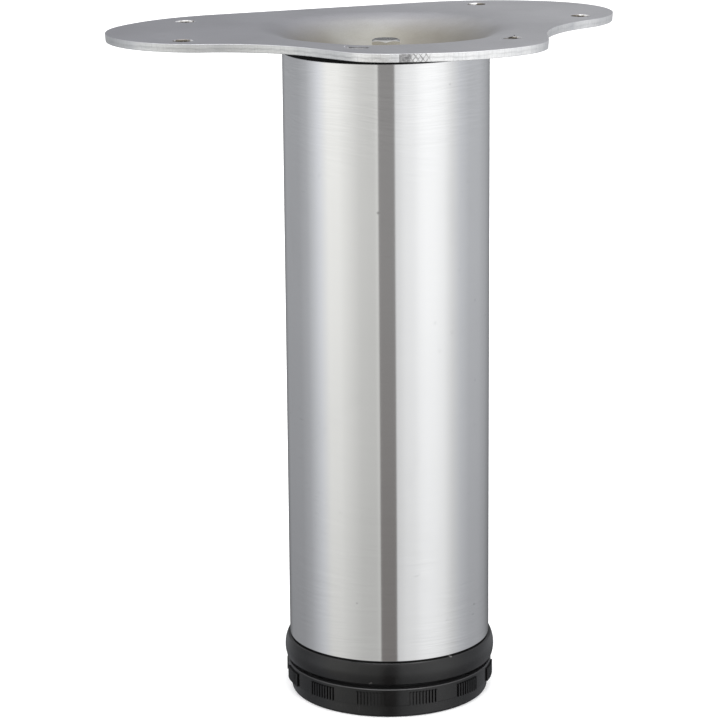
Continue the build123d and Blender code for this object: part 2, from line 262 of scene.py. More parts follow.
def material(name):
    m = bpy.data.materials.new(name)
    m.use_nodes = True
    t = Tree(m.node_tree)
    p = m.node_tree.nodes["Principled BSDF"]
    coord = t.n("ShaderNodeTexCoord").outputs["Object"]
    return m, t, p, coord


def polar(t, coord):
    """Radius, angle and height of a point about the Z axis, all in metres and radians."""
    s = t.n("ShaderNodeSeparateXYZ")
    t.put(s, 0, coord)
    x, y, z = s.outputs
    r = t.math("SQRT", t.math("ADD", t.math("MULTIPLY", x, x), t.math("MULTIPLY", y, y)))
    a = t.math("ARCTAN2", y, x)
    return x, y, z, r, a


def marks(t, along, z, spots):
    """Small round marks at (place round the girth, height, radius, strength), all in metres."""
    total = 0.0
    for u0, z0, rad, strength in spots:
        du = t.math("SUBTRACT", along, u0)
        dz = t.math("SUBTRACT", z, z0)
        d = t.math("SQRT", t.math("ADD", t.math("MULTIPLY", du, du), t.math("MULTIPLY", dz, dz)))
        total = t.math("ADD", t.math("MULTIPLY", t.range(d, rad, rad * 0.4, smooth=True), strength), total)
    return total


# ------------------------------------------------------------------ camera
F_PX = 2873.7
CAM_AZ = math.radians(-23.533)
CAM_D, CAM_H = 0.82617, 0.30563
PITCH, ROLL, YAW = (math.radians(v) for v in (13.890, 0.475, -0.569))

turn_z = Matrix.Rotation(CAM_AZ, 3, "Z")
fwd = Vector((math.sin(YAW) * math.cos(PITCH), math.cos(YAW) * math.cos(PITCH), -math.sin(PITCH)))
right = Vector((math.cos(YAW), -math.sin(YAW), 0.0))
down = fwd.cross(right)
r2 = right * math.cos(ROLL) + down * math.sin(ROLL)
d2 = down * math.cos(ROLL) - right * math.sin(ROLL)
rows = [turn_z @ v for v in (r2, -d2, -fwd)]
m3 = Matrix(rows).transposed()
cam_data = bpy.data.cameras.new("camera")
cam_data.sensor_width = 36.0
cam_data.lens = F_PX / 720.0 * 36.0
cam_data.clip_start, cam_data.clip_end = 0.02, 50.0
cam = bpy.data.objects.new("camera", cam_data)
COL.objects.link(cam)
cam.matrix_world = Matrix.Translation(turn_z @ Vector((0.0, -CAM_D, CAM_H))) @ m3.to_4x4()
scene.camera = cam

scene.view_settings.view_transform = "Standard"
scene.view_settings.look = "None"
scene.view_settings.exposure = 0.0
scene.view_settings.gamma = 1.0

# ------------------------------------------------------------------ studio
# A ring of soft light round the object, given by angle from the front, with a dark gap
# at the front where a studio camera stands between two softboxes.
# Radiance by angle, in degrees from the front: two soft boxes over a grey room.
RING = [
    (-180, 0.16), (-165, 0.27), (-150, 0.40), (-115, 0.425), (-100, 0.515), (-90, 0.69), (-80, 0.89),
    (-68, 1.07), (-55, 1.065), (-42, 0.91), (-30, 0.755), (-20, 0.72), (-13, 0.72), (-11, 0.80), (-9.5, 0.82),
    (-8.8, 0.33), (8.6, 0.325), (9.3, 0.86), (14, 0.90), (20, 1.0), (30, 1.06), (38, 1.18), (45, 1.225),
    (55, 1.21), (66, 1.12), (78, 0.87), (90, 0.705), (105, 0.585), (125, 0.56), (145, 0.45), (180, 0.15),
]
# How much of it is left near the floor.
LOW = [
    (-180, 0.40), (-150, 0.72), (-100, 0.74), (-80, 0.66), (-50, 0.63), (-30, 0.70), (-9.5, 0.72), (-8.8, 0.55),
    (8.6, 0.55), (9.3, 0.80), (40, 0.775), (62, 0.745), (90, 0.71), (140, 0.68), (180, 0.40),
]
FRONT = math.radians(-23.533)

world = bpy.data.worlds.new("studio")
world.use_nodes = True
scene.world = world
t = Tree(world.node_tree)
bg = world.node_tree.nodes["Background"]
d = t.n("ShaderNodeTexCoord").outputs["Generated"]


def dot(vec):
    m = t.n("ShaderNodeVectorMath", operation="DOT_PRODUCT")
    t.put(m, 0, d)
    m.inputs[1].default_value = vec
    return m.outputs["Value"]


def ring_colour(angle, value):
    """Neutral in front, a little warm on the left box and a little cool on the right."""
    if abs(angle) < 9:
        tint = (1.0, 0.985, 0.975)
    elif -78 < angle < 0:
        tint = (1.0, 1.0, 0.975)
    elif 0 < angle < 80:
        tint = (0.99, 0.998, 1.005)
    else:
        tint = (0.965, 0.985, 1.03)
    return tuple(value * c for c in tint)


side = dot((math.cos(FRONT), math.sin(FRONT), 0.0))
front = dot((math.sin(FRONT), -math.cos(FRONT), 0.0))
up = dot((0.0, 0.0, 1.0))
phi = t.math("ARCTAN2", side, front)
pos = t.math("ADD", t.math("DIVIDE", phi, 2 * math.pi), 0.5)
ring = t.ramp(pos, [((a + 180) / 360.0, ring_colour(a, v)) for a, v in RING])
low = t.ramp(pos, [((a + 180) / 360.0, v) for a, v in LOW])
ring_low = t.mix(1.0, ring, low, "MULTIPLY")
brown = t.math("MULTIPLY", t.range(phi, -0.156, -0.150), t.range(phi, 0.156, 0.150))
ring_low = t.mix(t.math("MULTIPLY", brown, 0.9), ring_low, t.mix(1.0, ring_low, (1.06, 0.99, 0.955), "MULTIPLY"))
ring_floor = t.mix(1.0, ring_low, (0.62, 0.62, 0.63), "MULTIPLY")
ring = t.mix(t.math("POWER", t.range(up, -0.148, -0.325), 1.55), ring, ring_low)
ring = t.mix(t.range(up, -0.322, -0.75), ring, ring_floor)
# Overhead it turns into an even white sky, brighter in front than behind.
over = t.mix(t.range(front, -0.55, 0.25, smooth=True), (0.60, 0.60, 0.615), (1.75, 1.75, 1.76))
sky = t.mix(t.range(up, 0.30, 0.62, smooth=True), ring, over)
is_cam = t.n("ShaderNodeLightPath").outputs["Is Camera Ray"]
final = t.mix(is_cam, sky, (0.97, 0.97, 0.97))
t.put(bg, "Color", final)

bpy.ops.mesh.primitive_circle_add(vertices=96, radius=6.0, fill_type="NGON", location=(0, 0, 0))
floor = bpy.context.object
floor.name = "floor"
floor.visible_glossy = False
fm, t, p, coord = material("floor_white")
t.put(p, "Base Color", (0.93, 0.93, 0.93, 1.0))
t.put(p, "Roughness", 0.9)
t.put(p, "Specular IOR Level", 0.0)
t.put(p, "Emission Color", (1.0, 1.0, 1.0, 1.0))
t.put(p, "Emission Strength", 0.34)
back = t.n("ShaderNodeNewGeometry").outputs["Backfacing"]
clear = t.n("ShaderNodeBsdfTransparent").outputs[0]
ms = t.n("ShaderNodeMixShader")
t.put(ms, 0, back)
t.t.links.new(p.outputs[0], ms.inputs[1])
t.t.links.new(clear, ms.inputs[2])
t.t.links.new(ms.outputs[0], fm.node_tree.nodes["Material Output"].inputs[0])
floor.data.materials.append(fm)
# The glide stands on the floor, so the floor keeps under it as the leg rises on its screw.
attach(floor, "glide")

sun = bpy.data.lights.new("overhead", "AREA")
sun.shape = "DISK"
sun.size = 1.6
sun.energy = 9.0
sun_ob = bpy.data.objects.new("overhead", sun)
sun_ob.location = (-0.1, -0.35, 1.7)
sun_ob.rotation_euler = (Vector((0, 0, 0.1)) - Vector(sun_ob.location)).to_track_quat("-Z", "Y").to_euler()
COL.objects.link(sun_ob)

# ------------------------------------------------------------------ materials
def metal(name, colour, rough, aniso=0.0, rotation=0.0):
    m, t, p, coord = material(name)
    t.put(p, "Metallic", 1.0)
    t.put(p, "Roughness", rough)
    t.put(p, "Base Color", (*colour, 1.0))
    t.put(p, "Anisotropic", aniso)
    t.put(p, "Anisotropic Rotation", rotation)
    return m, t, p, coord


# Satin chrome tube: brushed round its girth, so reflections smear up and down.
tube_mat, t, p, coord = metal("satin_chrome", (0.8, 0.8, 0.8), 0.2, 0.95, 0.25)
x, y, z, r, a = polar(t, coord)
tan = t.n("ShaderNodeTangent", direction_type="RADIAL", axis="Z")
t.t.links.new(tan.outputs[0], p.inputs["Tangent"])
u = t.math("MULTIPLY", a, 0.03)
drift = t.noise(coord, 9.0, 1.0)
zz = t.math("ADD", z, t.math("MULTIPLY", u, t.range(drift, 0.3, 0.7, -0.03, 0.07)))
fine = t.noise(t.combine(t.math("MULTIPLY", u, 70.0), t.math("MULTIPLY", zz, 2600.0), 0.0), 1.0, 4.0, 0.6)
mid = t.noise(t.combine(t.math("MULTIPLY", u, 22.0), t.math("MULTIPLY", zz, 700.0), 4.0), 1.0, 3.0, 0.55)
cloud = t.noise(coord, 26.0, 3.0, 0.5)
# The brushing is stronger near both ends of the tube.
ends = t.math("MAXIMUM", t.range(z, 0.150, 0.193, 0.0, 1.0, smooth=True), t.range(z, 0.075, 0.02, 0.0, 1.0, smooth=True))
amp = t.range(ends, 0.0, 1.0, 0.30, 1.0)
amp = t.math("ADD", amp, t.range(z, 0.060, 0.022, 0.0, 0.45, smooth=True))
# Near the lower end it comes and goes in patches.
patchy = t.range(t.noise(coord, 34.0, 2.0), 0.40, 0.60, 0.28, 1.0, smooth=True)
amp = t.math("MULTIPLY", amp, t.math("SUBTRACT", 1.0, t.math("MULTIPLY", t.range(z, 0.090, 0.060, 0.0, 1.0, smooth=True), t.math("SUBTRACT", 1.0, patchy))))
grain = t.math("ADD", t.math("MULTIPLY", t.math("SUBTRACT", fine, 0.5), 0.15), t.math("MULTIPLY", t.math("SUBTRACT", mid, 0.5), 0.06))
tone = t.math("ADD", 0.998, t.math("MULTIPLY", grain, amp))
tone = t.math("ADD", tone, t.range(cloud, 0.3, 0.7, -0.014, 0.012))
# Slanting strokes near the upper end, where the polishing belt ran off.
lean = t.range(t.noise(coord, 14.0, 1.0), 0.35, 0.65, 0.02, 0.20)
slant = t.math("ADD", z, t.math("MULTIPLY", u, lean))
strokes = t.noise(t.combine(t.math("MULTIPLY", u, 75.0), t.math("MULTIPLY", slant, 1250.0), 9.0), 1.0, 4.0, 0.65)
high = t.range(z, 0.150, 0.190, 0.12, 1.0, smooth=True)
high = t.math("MULTIPLY", high, t.range(t.noise(coord, 38.0, 2.0), 0.38, 0.62, 0.25, 1.0))
tone = t.math("ADD", tone, t.math("MULTIPLY", t.math("MULTIPLY", t.math("SUBTRACT", strokes, 0.5), 0.30), high))
# Short marks and faint dried stains here and there.
ticks = t.noise(t.combine(t.math("MULTIPLY", u, 260.0), t.math("MULTIPLY", z, 1500.0), 2.0), 1.0, 2.0, 0.5)
where = t.noise(coord, 48.0, 2.0, 0.5)
ticks = t.math("MULTIPLY", t.range(ticks, 0.62, 0.74), t.range(where, 0.58, 0.68))
tone = t.math("SUBTRACT", tone, t.math("MULTIPLY", ticks, 0.10))
stain = t.noise(t.combine(t.math("MULTIPLY", u, 30.0), t.math("MULTIPLY", z, 16.0), 6.0), 1.0, 4.0, 0.6)
tone = t.math("SUBTRACT", tone, t.range(stain, 0.54, 0.70, 0.0, 0.030, smooth=True))
# Sparse dark specks.
speck = t.voronoi(coord, 190.0)
gate = t.noise(coord, 60.0, 2.0)
speck = t.math("MULTIPLY", t.range(speck, 0.07, 0.13, 1.0, 0.0), t.range(gate, 0.60, 0.66, 0.0, 1.0))
tone = t.math("SUBTRACT", tone, t.math("MULTIPLY", speck, 0.05))
spots = [(-2.0647, 0.15136, 0.0006, 0.30), (-1.340, 0.1869, 0.0005, 0.12), (-0.9774, 0.12295, 0.00035, 0.22), (-0.9749, 0.09909, 0.00035, 0.22),
         (-0.9872, 0.03065, 0.0004, 0.35), (-1.0057, 0.02768, 0.0003, 0.3), (-2.30, 0.0352, 0.0003, 0.3),
         (0.4, 0.120, 0.0005, 0.3), (1.9, 0.066, 0.0004, 0.3), (2.8, 0.160, 0.0004, 0.25)]
tone = t.math("SUBTRACT", tone, marks(t, u, z, [(q * 0.03, zz0, rr0, k0) for q, zz0, rr0, k0 in spots]))
col = t.mix(1.0, (0.812, 0.812, 0.812), t.combine(tone, tone, tone), "MULTIPLY")
t.put(p, "Base Color", col)
t.put(p, "Roughness", t.math("ADD", 0.13, t.math("MULTIPLY", grain, 0.35)))
n1 = t.bump(t.math("ADD", fine, t.math("MULTIPLY", mid, 2.0)), 0.0000015)
wave = t.noise(t.combine(t.math("MULTIPLY", u, 45.0), t.math("MULTIPLY", z, 9.0), 2.0), 1.0, 2.0, 0.5)
n2 = t.bump(wave, 0.00002, 1.0, n1)
t.put(p, "Normal", n2)

# Pressed sheet: satin, a little cloudy, with a warm tint down in the dish.
def sheet_material(name, edge=False):
    m, t, p, coord = metal(name, (0.6, 0.6, 0.6), 0.42)
    x, y, z, r, a = polar(t, coord)
    cloud = t.noise(coord, 22.0, 4.0, 0.55)
    fine = t.noise(t.combine(t.math("MULTIPLY", x, 250.0), t.math("MULTIPLY", y, 2600.0), t.math("MULTIPLY", z, 600.0)), 1.0, 3.0, 0.6)
    pits = t.noise(coord, 2300.0, 3.0, 0.65)
    tone = t.math("ADD", 1.0, t.math("MULTIPLY", t.math("SUBTRACT", cloud, 0.5), 0.16))
    tone = t.math("ADD", tone, t.math("MULTIPLY", t.math("SUBTRACT", fine, 0.5), 0.12))
    tone = t.math("ADD", tone, t.math("MULTIPLY", t.math("SUBTRACT", pits, 0.5), 0.22))
    blot = t.noise(coord, 120.0, 3.0, 0.6)
    tone = t.math("ADD", tone, t.math("MULTIPLY", t.math("SUBTRACT", blot, 0.5), 0.10))
    if edge:
        base = (0.97, 0.97, 0.965)
    else:
        # The sheet is darker towards one end, along the direction 0.917 x - 0.399 y.
        along = t.math("ADD", t.math("MULTIPLY", x, 0.917), t.math("MULTIPLY", y, -0.399))
        along = t.math("ADD", along, t.math("MULTIPLY", t.math("SUBTRACT", cloud, 0.5), 0.03))
        base = t.mix(t.range(along, -0.055, 0.060, smooth=True), (0.485, 0.487, 0.515), (0.655, 0.657, 0.675))
    grey = t.mix(1.0, base, t.combine(tone, tone, tone), "MULTIPLY")
    if edge:
        # Upright shear marks, a blued stretch and a scratched dark patch near the nose.
        s = t.noise(t.combine(t.math("MULTIPLY", a, 95.0), 0.0, t.math("MULTIPLY", z, 120.0)), 1.0, 4.0, 0.7)
        s2 = t.noise(t.combine(t.math("MULTIPLY", a, 9.0), 0.0, 0.0), 1.0, 2.0, 0.5)
        grey = t.mix(t.range(s, 0.52, 0.72, 0.0, 0.38), grey, (0.50, 0.50, 0.51))
        grey = t.mix(t.range(s2, 0.50, 0.70, 0.0, 0.35), grey, (0.62, 0.64, 0.67))
        # The edge is darker along the wings than at the nose.
        uu = t.math("ADD", t.math("MULTIPLY", x, 0.917), t.math("MULTIPLY", y, -0.399))
        uu = t.math("ADD", uu, t.math("MULTIPLY", t.math("SUBTRACT", s, 0.5), 0.003))
        grey = t.mix(t.range(uu, -0.0078, -0.0094, 0.0, 0.42), grey, (0.50, 0.515, 0.52))
        near = t.range(y, -0.044, -0.049)
        wob = t.math("MULTIPLY", t.math("SUBTRACT", s, 0.5), 0.0016)
        xs = t.math("ADD", x, wob)
        patch = t.math("MULTIPLY", t.range(xs, -0.0192, -0.0188), t.range(xs, -0.0152, -0.0160))
        patch = t.math("MULTIPLY", patch, near)
        mott = t.range(t.noise(coord, 1500.0, 3.0, 0.6), 0.40, 0.64, 0.95, 0.55)
        grey = t.mix(t.math("MULTIPLY", patch, mott), grey, (0.27, 0.265, 0.27))
        w1 = t.n("ShaderNodeTexWave", wave_type="BANDS", bands_direction="X")
        t.put(w1, "Vector", t.combine(t.math("ADD", x, t.math("MULTIPLY", z, 0.8)), 0.0, 0.0))
        t.put(w1, "Scale", 190.0)
        t.put(w1, "Distortion", 3.0)
        t.put(w1, "Detail", 3.0)
        t.put(w1, "Detail Scale", 2.5)
        w2 = t.n("ShaderNodeTexWave", wave_type="BANDS", bands_direction="X")
        t.put(w2, "Vector", t.combine(t.math("SUBTRACT", x, t.math("MULTIPLY", z, 0.7)), 0.0, 0.0))
        t.put(w2, "Scale", 240.0)
        t.put(w2, "Distortion", 3.5)
        t.put(w2, "Detail", 3.0)
        t.put(w2, "Detail Scale", 3.0)
        cross = t.math("MAXIMUM", t.range(w1.outputs["Fac"], 0.72, 0.95), t.range(w2.outputs["Fac"], 0.8, 0.97))
        zone = t.math("MULTIPLY", t.range(x, -0.0165, -0.0150), t.range(x, -0.0098, -0.0118))
        cross = t.math("MULTIPLY", t.math("MULTIPLY", cross, zone), near)
        cross = t.math("MULTIPLY", cross, t.range(s, 0.35, 0.55, 0.35, 1.0))
        grey = t.mix(t.math("MULTIPLY", cross, 0.8), grey, (0.26, 0.25, 0.25))
        t.put(p, "Base Color", grey)
        t.put(p, "Roughness", t.range(s, 0.3, 0.7, 0.40, 0.55))
        t.put(p, "Normal", t.bump(s, 0.00003, 0.7))
        return m
    sx = t.math("SUBTRACT", x, 0.0012)
    sy = t.math("SUBTRACT", y, 0.0015)
    d = t.math("SQRT", t.math("ADD", t.math("MULTIPLY", sx, sx), t.math("MULTIPLY", sy, sy)))
    d = t.math("ADD", d, t.math("MULTIPLY", t.math("SUBTRACT", cloud, 0.5), 0.014))
    inside = t.range(d, 0.0330, 0.0200, 0.0, 1.0, smooth=True)
    # The slope of the dish is painted darker all round: painted shade on the slope.
    painted_slope_shade = t.range(r, 0.0375, 0.031, 0.0, 0.15, smooth=True)
    grey = t.mix(painted_slope_shade, grey, (0.30, 0.295, 0.31))
    stain = t.noise(coord, 70.0, 4.0, 0.6)
    warm = t.mix(t.range(stain, 0.35, 0.7), (0.388, 0.370, 0.326), (0.350, 0.325, 0.276))
    # A paler patch on the far slope: painted light where the light falls on it.
    px = t.math("SUBTRACT", x, 0.0025)
    py = t.math("SUBTRACT", y, 0.025)
    gap = t.math("SQRT", t.math("ADD", t.math("MULTIPLY", px, px), t.math("MULTIPLY", py, py)))
    gap = t.math("ADD", gap, t.math("MULTIPLY", t.math("SUBTRACT", cloud, 0.5), 0.014))
    painted_lit_patch = t.mix(t.range(stain, 0.35, 0.7), (0.500, 0.492, 0.455), (0.455, 0.440, 0.385))
    warm = t.mix(t.range(gap, 0.016, 0.005, smooth=True), warm, painted_lit_patch)
    warm = t.mix(1.0, warm, t.combine(tone, tone, tone), "MULTIPLY")
    t.put(p, "Base Color", t.mix(inside, grey, warm))
    t.put(p, "Roughness", t.math("ADD", 0.37, t.math("ADD", t.math("MULTIPLY", cloud, 0.08), t.math("MULTIPLY", fine, 0.06))))
    n = t.bump(pits, 0.000012, 0.6)
    n = t.bump(fine, 0.000006, 0.6, n)
    t.put(p, "Normal", n)
    return m


sheet_mat = sheet_material("plated_sheet")
edge_mat = sheet_material("sheared_edge", edge=True)

# Hole walls: dark brown with pale flecks, partly the sheared steel's own colour and partly painted shade down in
# the bore.
hole_mat, t, p, coord = metal("pierced_hole", (0.2, 0.19, 0.17), 0.5)
c1 = t.noise(coord, 260.0, 4.0, 0.6)
t.put(p, "Base Color", t.mix(t.range(c1, 0.40, 0.56), (0.14, 0.125, 0.105), (0.93, 0.93, 0.93)))
t.put(p, "Roughness", t.range(c1, 0.3, 0.7, 0.30, 0.5))
t.put(p, "Normal", t.bump(c1, 0.00008, 0.8))

zinc_mat, t, p, coord = metal("bright_zinc", (0.74, 0.735, 0.70), 0.2)
c1 = t.noise(coord, 420.0, 4.0, 0.6)
c2 = t.noise(coord, 2600.0, 2.0, 0.5)
bright = t.mix(c1, (0.60, 0.60, 0.57), (0.84, 0.835, 0.81))
# Faces that turn away from up are painted darker than the tops: painted shade standing in for reflections.
face = t.n("ShaderNodeNewGeometry")
up = t.n("ShaderNodeSeparateXYZ")
t.put(up, "Vector", face.outputs["Normal"])
painted_side_shade = t.range(up.outputs["Z"], 0.55, 0.15, 0.0, 0.62)
t.put(p, "Base Color", t.mix(painted_side_shade, bright, (0.22, 0.21, 0.19)))
t.put(p, "Roughness", t.range(c1, 0.3, 0.7, 0.13, 0.26))
t.put(p, "Normal", t.bump(t.math("ADD", c1, c2), 0.00001, 0.7))

bridge_mat, t, p, coord = metal("pressed_steel", (0.42, 0.42, 0.44), 0.42)
c1 = t.noise(coord, 70.0, 5.0, 0.6)
c2 = t.noise(coord, 1500.0, 2.0, 0.5)
t.put(p, "Base Color", t.mix(c1, (0.32, 0.32, 0.34), (0.52, 0.52, 0.53)))
t.put(p, "Roughness", t.range(c1, 0.3, 0.7, 0.34, 0.52))
t.put(p, "Normal", t.bump(c2, 0.00001, 0.6))


def plastic(name, dark, light, rough, grain, nicks=None, dust_and_gap_light=False):
    m, t, p, coord = material(name)
    x, y, z, r, a = polar(t, coord)
    c1 = t.noise(coord, 45.0, 4.0, 0.6)
    drag = t.noise(t.combine(t.math("MULTIPLY", a, 3.0), 0.0, t.math("MULTIPLY", z, 1800.0)), 1.0, 3.0, 0.6)
    c2 = t.noise(coord, grain, 3.0, 0.6)
    dust = t.range(t.noise(coord, 900.0, 4.0, 0.7), 0.60, 0.80, 0.0, 0.35)
    scuff = t.noise(t.combine(t.math("MULTIPLY", a, 16.0), 3.0, t.math("MULTIPLY", z, 260.0)), 1.0, 4.0, 0.65)
    colour = t.mix(t.range(c1, 0.3, 0.7), dark, light)
    colour = t.mix(t.range(drag, 0.45, 0.8, 0.0, 0.22), colour, tuple(2.5 * v for v in light))
    colour = t.mix(dust, colour, tuple(4.0 * v for v in light))
    colour = t.mix(t.range(scuff, 0.56, 0.72, 0.0, 0.5), colour, (4.2 * light[0], 3.6 * light[1], 3.5 * light[2]))
    if nicks:
        mk = marks(t, t.math("MULTIPLY", a, 0.031), z, [(q * 0.031, zz0, rr0, k0) for q, zz0, rr0, k0 in nicks])
        colour = t.mix(t.math("MINIMUM", mk, 1.0), colour, (0.16, 0.155, 0.15))
    if dust_and_gap_light:
        # A pale band on the shoulder above the grip blocks and in the gap behind it: dust, and painted light that
        # lifts the shade in the gap.
        shelf_dust_and_light = t.math("MULTIPLY", t.range(z, 0.00885, 0.00915), t.range(z, 0.0112, 0.0106))
        shelf_dust_and_light = t.math("MULTIPLY", shelf_dust_and_light, t.range(c1, 0.25, 0.75, 0.75, 1.0))
        colour = t.mix(shelf_dust_and_light, colour, (0.034, 0.034, 0.035))
    t.put(p, "Base Color", colour)
    t.put(p, "Roughness", t.math("ADD", rough, t.math("ADD", t.math("MULTIPLY", t.math("SUBTRACT", c1, 0.5), 0.16), t.math("MULTIPLY", t.math("SUBTRACT", scuff, 0.5), 0.12))))
    t.put(p, "Specular IOR Level", 0.53)
    n = t.bump(c2, 0.000014, 0.55)
    n = t.bump(drag, 0.000008, 0.5, n)
    t.put(p, "Normal", n)
    return m


# The adjuster gets the pale band of dust and painted light in the gap under the collar.
black_mat = plastic("black_plastic_moulded", (0.0012, 0.0012, 0.0013), (0.0026, 0.0026, 0.0028), 0.20, 2600.0, dust_and_gap_light=True)
collar_mat = plastic(
    "black_plastic_collar", (0.0012, 0.0012, 0.0013), (0.0026, 0.0025, 0.0026), 0.20, 2600.0,
    [(-1.350, 0.01735, 0.00045, 0.9), (-1.338, 0.01720, 0.0003, 0.5), (-2.157, 0.01125, 0.0004, 0.22), (-2.172, 0.0110, 0.0003, 0.2), (0.9, 0.0130, 0.0005, 0.3)],
)
plug_mat = plastic("black_plastic_plug", (0.0012, 0.0012, 0.0012), (0.002, 0.002, 0.002), 0.6, 2000.0)
plug_mat.node_tree.nodes["Principled BSDF"].inputs["Specular IOR Level"].default_value = 0.12
glide_mat = plastic("glide_plastic_moulded", (0.0016, 0.0016, 0.0017), (0.0032, 0.0032, 0.0034), 0.26, 2200.0)

# ------------------------------------------------------------------ tube
TUBE_LO, TUBE_HI = 17.5, 193.5
prof = round_profile([(28.8, TUBE_LO, 0.12), (30.0, TUBE_LO, 0.25), (30.0, TUBE_HI, 0.25), (28.8, TUBE_HI, 0.12)], steps=4)
prof = split_long(prof, 4.0)
tv, tf = lathe_data(prof, turn(384))
tube = mesh_piece("tube_wall", tv, tf, [tube_mat], "leg")
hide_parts("leg_tube")

# ------------------------------------------------------------------ mounting plate
PLATE_TOP, PLATE_T = 200.0, 2.4
HOLES = [(s * hx, hy) for hx, hy in ((47.3, 38.8), (62.4, -1.1), (23.4, -34.5)) for s in (1, -1)]


def plate_outline(step):
    """Points and outward normals round the plate, clockwise seen from above."""
    x1, w = 34.0, 50.4
    runs = [("l", x1), ("a", 50.8, -38.2), ("l", 2.4), ("a", 28.7, -122.2), ("a", 42.0, 46.3), ("l", 10.1), ("a", 16.2, -52.7)]
    turned = 38.2 + 122.2 - 46.3 + 52.7
    pos, ang = np.array([0.0, w]), 0.0
    pts, nor = [], []

    def emit(run, last=False):
        nonlocal pos, ang
        if run[0] == "l":
            k = max(2, int(run[1] / step))
            dvec = np.array([math.cos(ang), math.sin(ang)])
            for i in range(k + (1 if last else 0)):
                pts.append(pos + dvec * run[1] * i / k)
                nor.append(np.array([-dvec[1], dvec[0]]))
            pos = pos + dvec * run[1]
        else:
            rad, deg = run[1], run[2]
            s = 1 if deg > 0 else -1
            tot = math.radians(deg)
            k = max(3, int(abs(tot) * rad / step))
            cen = pos + s * rad * np.array([-math.sin(ang), math.cos(ang)])
            v = pos - cen
            for i in range(k + (1 if last else 0)):
                q = tot * i / k
                c, sn = math.cos(q), math.sin(q)
                pts.append(cen + np.array([v[0] * c - v[1] * sn, v[0] * sn + v[1] * c]))
                aa = ang + q
                nor.append(np.array([-math.sin(aa), math.cos(aa)]))
            c, sn = math.cos(tot), math.sin(tot)
            pos = cen + np.array([v[0] * c - v[1] * sn, v[0] * sn + v[1] * c])
            ang += tot

    for run in runs:
        emit(run)
    rest = 180.0 - turned
    emit(("a", pos[0] / math.sin(math.radians(rest)), -rest), last=True)
    half, hn = pts, nor
    left = [np.array([-q[0], q[1]]) for q in half[1:-1]][::-1]
    ln = [np.array([-q[0], q[1]]) for q in hn[1:-1]][::-1]
    P, N = np.array(half + left), np.array(hn + ln)
    N /= np.linalg.norm(N, axis=1)[:, None]
    return P, N


def dish_arc(offset, steps=26):
    """The dish's profile from its rim to the bolt hole, as (r, z), offset below the top."""
    a = math.radians(26.0)
    R1, R2, rim, depth = 18.0, 14.0, 38.5, 9.1
    wall = (depth - (R1 + R2) * (1 - math.cos(a))) / math.sin(a)
    r1, r2 = R1 - offset, R2 + offset
    zc = PLATE_TOP - R1
    out = []
    for i in range(steps + 1):
        q = a * i / steps
        out.append((rim - r1 * math.sin(q), zc + r1 * math.cos(q)))
    span = (R1 + R2) * math.sin(a) + wall * math.cos(a)
    rc, zf = rim - span, PLATE_TOP - depth + R2
    end = (rc + r2 * math.sin(a), zf - r2 * math.cos(a))
    p0 = out[-1]
    for i in range(1, 6):
        out.append((p0[0] + (end[0] - p0[0]) * i / 6, p0[1] + (end[1] - p0[1]) * i / 6))
    for i in range(steps + 1):
        q = a * (1 - i / steps)
        out.append((rc + r2 * math.sin(q), zf - r2 * math.cos(q)))
    last = out[-1]
    n = max(2, int((last[0] - 3.2) / 1.6))
    for i in range(1, n + 1):
        out.append((last[0] + (3.2 - last[0]) * i / n, last[1]))
    return out


def sheet_wave(px, py):
    """The slight unevenness of pressed sheet, downwards from flat, in millimetres."""
    w = -0.05 * (0.5 + 0.5 * fbm((px * 0.018, py * 0.018, 1.7), 3))
    # The two holes on the rim of the dish are drawn down a little with it.
    q = (abs(px) - 21.0) ** 2 + (py + 30.5) ** 2 if py < 0 else 1e9
    w -= 0.42 * math.exp(-q / (2 * 6.5**2))
    # One side of the nose hangs down a little.
    u, v = 0.917 * px - 0.399 * py, -0.399 * px - 0.917 * py
    a = max(0.0, min(1.0, (u + 4.0) / 30.0))
    b = max(0.0, min(1.0, (v - 20.0) / 26.0))
    c = max(0.0, min(1.0, (60.0 - u) / 25.0))
    return w - 0.45 * (a * a * (3 - 2 * a)) * (b * b * (3 - 2 * b)) * c


